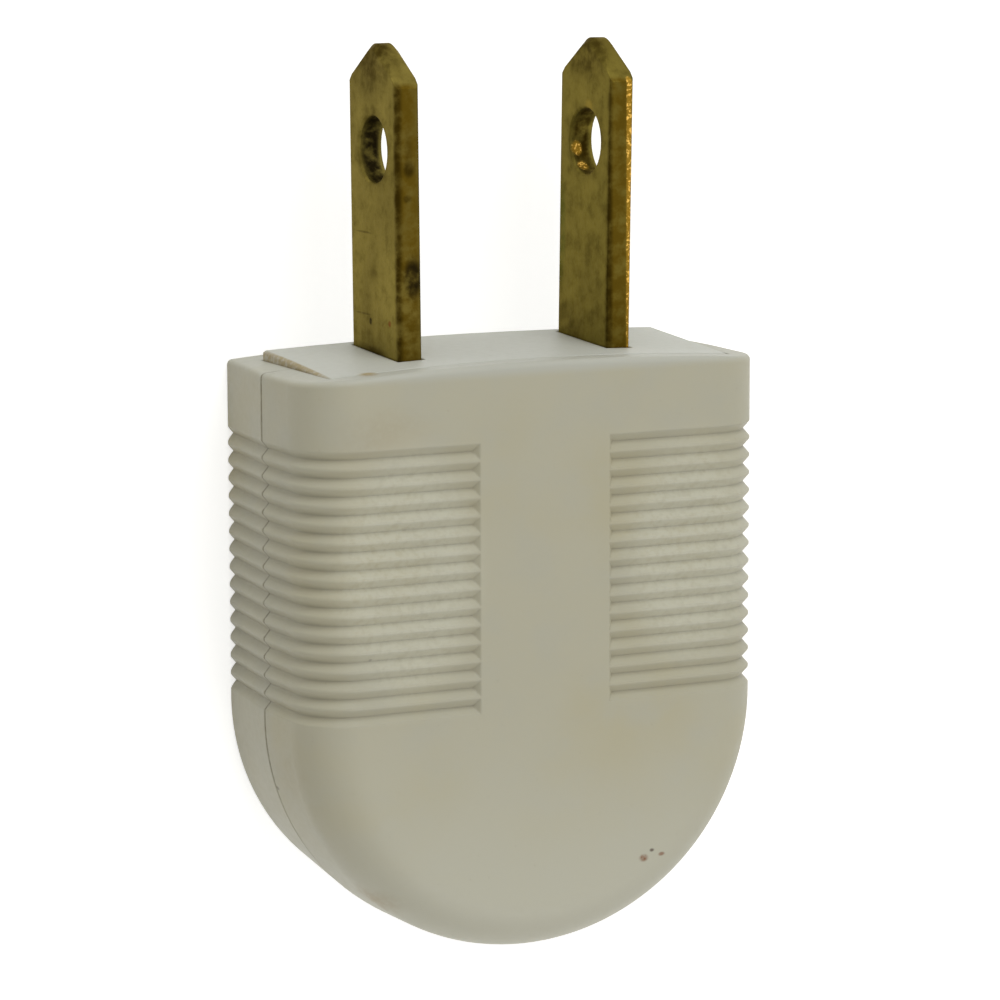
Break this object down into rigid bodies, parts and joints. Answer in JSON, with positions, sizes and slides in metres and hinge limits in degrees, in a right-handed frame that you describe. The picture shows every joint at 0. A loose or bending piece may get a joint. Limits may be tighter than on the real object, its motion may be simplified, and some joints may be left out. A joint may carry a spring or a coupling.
{
  "type": "electrical plug",
  "caption": "Rewirable mains plug with flat parallel pierced blades, a ribbed U-shaped two-part housing and a rear cord inlet.",
  "frame": {"origin": "centre of the plug's bounding box, on the flat back of the rear cover that it lies on", "axes": "+Y from the rounded cord end towards the blade tips, +Z from the flat back to the ribbed front, +X completes a right-handed frame"},
  "size_m": [0.028, 0.0499, 0.0128],
  "materials": {
    "shell": "aged ivory moulded plastic, faintly pebbled, with dull sheen",
    "carrier": "pale grey-white moulded insulating plastic",
    "blade": "tarnished brass, mottled and lightly scratched",
    "terminal": "plain turned or stamped brass",
    "steel": "zinc-plated steel",
    "clamp": "moulded plastic"
  },
  "bodies": {
    "root": {"front_shell": "shell", "rear_cover": "shell", "blade_carrier": "carrier", "blade_left": "blade", "blade_right": "blade", "clamp_plate_left": "terminal", "clamp_plate_right": "terminal", "terminal_screw_left": "terminal", "terminal_screw_right": "terminal", "cover_insert": "terminal", "cover_screw": "steel", "cord_clamp": "clamp", "cord_clamp_screw_left": "steel", "cord_clamp_screw_right": "steel"}
  },
  "joints": []
}
